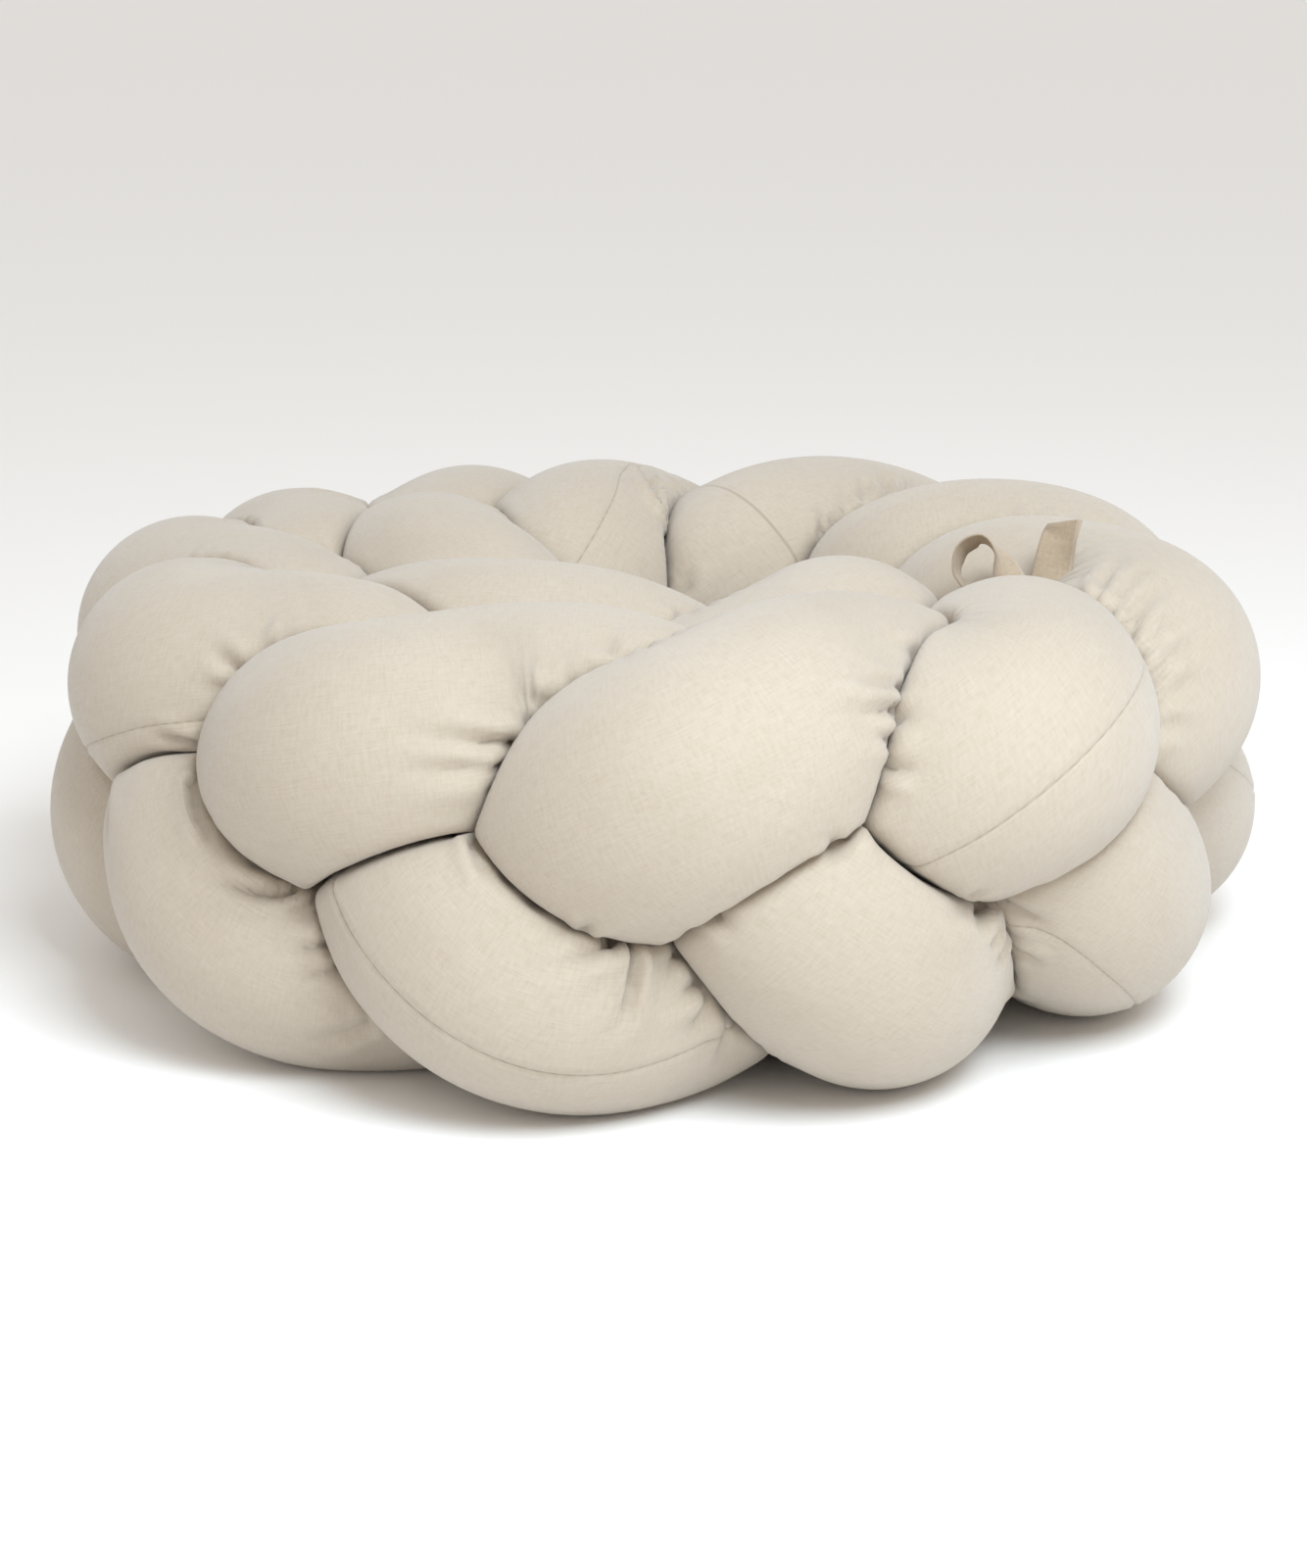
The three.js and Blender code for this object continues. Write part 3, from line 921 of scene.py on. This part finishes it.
# Three colours, mixed by the streaks of the melange and by wide blotches
def melangeColour(finish, settings, streaks, place):
    base, slub, pale = ((*settings[name], 1) for name in ("colour", "slubColour", "paleColour"))
    noise = {"Vector": place, "Scale": melange["blotchScale"], "Detail": melange["detail"]}
    blotches = finish.node("ShaderNodeTexNoise", {}, noise) - 0.5
    colour = finish.mix(finish.ramp(streaks, *melange["streaks"]) * settings["darkShare"], base, slub)
    colour = finish.mix(finish.ramp(0 - streaks, *melange["streaks"]) * settings["paleShare"], colour, pale)
    return finish.mix(finish.ramp(blotches, *melange["blotches"]) * melange["blotchShare"], colour, slub)


# The colour and height of fine woven cotton, over a cloth's own UV map in mm
def wovenCloth(finish, settings, size):
    flat = finish.node("ShaderNodeUVMap", {"uv_map": "UVMap"}, {})
    place = finish.node("ShaderNodeVectorMath", {"operation": "MULTIPLY"}, {0: flat, 1: (*size, 0)})
    across, along = (finish.node("ShaderNodeSeparateXYZ", {}, {0: place}, k) for k in (0, 1))
    wide, long = settings["slub"]
    noises = []
    for stretch in ((wide, long, 1), (long, wide, 1)):
        stretched = finish.node("ShaderNodeVectorMath", {"operation": "MULTIPLY"}, {0: place, 1: stretch})
        noise = {"Vector": stretched, "Scale": 1, "Detail": melange["detail"]}
        noises.append(finish.node("ShaderNodeTexNoise", {}, noise))
    streaks = noises[0] + noises[1] - 1
    turn = 2 * math.pi / settings["threadPitch"]
    threads = (across * turn).through("SINE") * (along * turn).through("SINE")
    height = threads * settings["weaveDepth"] + streaks * settings["slubDepth"]
    return melangeColour(finish, settings, streaks, place), height, streaks, across, along


def addCotton(settings):
    finish = Finish("sandCotton")
    size = (2 * math.pi * plait["tubeRadius"], lengthsOf(centreLines[0])[-1])
    colour, height, streaks, across, along = wovenCloth(finish, settings, size)
    edge = across.through("PINGPONG", size[0] / 2)
    join = finish.node("ShaderNodeAttribute", {"attribute_name": "fromJoin"}, {}, 2)
    stitch = (along * (2 * math.pi / settings["stitchLength"])).through("SINE")
    contrast = settings["stitchContrast"]
    seam = finish.band(edge, settings["seamWidth"]) * (1 - contrast + contrast * stitch)
    seam = seam.through("MAXIMUM", finish.band(join, settings["seamWidth"]) * settings["joinShare"])
    colour = finish.mix(seam * settings["seamShare"], colour, (*settings["seamColour"], 1))
    finish.link(colour, "Base Color")
    height = height - finish.band(edge, settings["grooveWidth"]) * settings["grooveDepth"]
    finish.link(finish.bump(height), "Normal")
    finish.link(settings["roughness"] + streaks * settings["roughnessVaries"], "Roughness")
    finish.fix("Specular IOR Level", settings["specular"])
    finish.fix("Sheen Weight", settings["sheen"])
    finish.fix("Sheen Roughness", settings["sheenRoughness"])
    finish.fix("Sheen Tint", (*settings["sheenTint"], 1))
    return finish.material


cottonFinish = addCotton(cotton)
for piece in strands:
    piece.data.materials.append(cottonFinish)
print("cotton finished")

tape = {
    "colour": (0.53, 0.42, 0.30),
    "slubColour": (0.42, 0.315, 0.21),
    "paleColour": (0.62, 0.51, 0.39),
    "darkShare": 0.5,
    "paleShare": 0.5,
    "stitchColour": (0.66, 0.58, 0.48),
    "hemColour": (0.64, 0.53, 0.40),
    "roughness": 0.75,
    "roughnessVaries": 0.1,
    "sheen": 0.2,
    "threadPitch": 0.42,
    "slub": (1.2, 0.3),
    "weaveDepth": 0.00008,  # m
    "slubDepth": 0.0001,
    "hemWidth": 2.6,        # mm from the stitched edge to the stitches
    "hemShare": 0.7,
    "hemFrom": 0.02,        # of the band's share, so that the hem has a sharp edge
    "stitchWidth": 0.35,
    "stitchLength": 2.2,
    "stitchFrom": -0.4,     # of a wave from -1 to 1: where it is lower, the thread is under the cloth
    "stitchHeight": 0.0003,     # m
}


def addTape(settings, length):
    finish = Finish("foldedTape%d" % length)
    size = (2 * tie["width"], length)
    colour, height, streaks, across, along = wovenCloth(finish, settings, size)
    edge = across.through("PINGPONG", size[0] / 2)
    hem = finish.band(edge, settings["hemWidth"]).through("GREATER_THAN", settings["hemFrom"])
    stitch = (along * (2 * math.pi / settings["stitchLength"])).through("SINE")
    stitch = stitch.through("GREATER_THAN", settings["stitchFrom"])
    stitch = stitch * finish.band(edge - settings["hemWidth"], settings["stitchWidth"])
    colour = finish.mix(hem * settings["hemShare"], colour, (*settings["hemColour"], 1))
    finish.link(finish.mix(stitch, colour, (*settings["stitchColour"], 1)), "Base Color")
    finish.link(finish.bump(height + stitch * settings["stitchHeight"]), "Normal")
    finish.link(settings["roughness"] + streaks * settings["roughnessVaries"], "Roughness")
    finish.fix("Sheen Weight", settings["sheen"])
    return finish.material


loopTie.data.materials.append(addTape(tape, loopLength))
endTie.data.materials.append(addTape(tape, endLength))
print("tape finished")

# Floor and light, in m
studio = {
    "floorSize": 40,
    "floorDrop": 0.0005,
    "floorColour": (0.95, 0.94, 0.925),
    "floorRoughness": 0.9,
    "worldColour": (1, 0.98, 0.955),
    "worldStrength": 0.78,
    "lightPlace": (0.36, -0.85, 1.1),
    "lightAim": (0.05, -0.05, 0.08),
    "lightSize": 0.6,
    "lightPower": 17,
    "lightColour": (0.81, 0.91, 1),
    "viewTransform": "Standard",
}


def addStudio(settings):
    bpy.context.scene.view_settings.view_transform = settings["viewTransform"]
    deselectAll()
    bpy.ops.mesh.primitive_plane_add(size=settings["floorSize"], location=(0, 0, -settings["floorDrop"]))
    floor = bpy.context.object
    floor.name = "floor"
    material = bpy.data.materials.new("paleFloor")
    material.use_nodes = True
    shader = material.node_tree.nodes["Principled BSDF"]
    shader.inputs["Base Color"].default_value = (*settings["floorColour"], 1)
    shader.inputs["Roughness"].default_value = settings["floorRoughness"]
    floor.data.materials.append(material)
    world = bpy.data.worlds.new("softDaylight")
    world.use_nodes = True
    background = world.node_tree.nodes["Background"]
    background.inputs["Color"].default_value = (*settings["worldColour"], 1)
    background.inputs["Strength"].default_value = settings["worldStrength"]
    bpy.context.scene.world = world
    bpy.ops.object.light_add(type="AREA", location=settings["lightPlace"])
    light = bpy.context.object
    light.data.size = settings["lightSize"]
    light.data.energy = settings["lightPower"]
    light.data.color = settings["lightColour"]
    towards = Vector(settings["lightAim"]) - light.location
    light.rotation_euler = towards.to_track_quat("-Z", "Y").to_euler()


addStudio(studio)
print("studio lit")
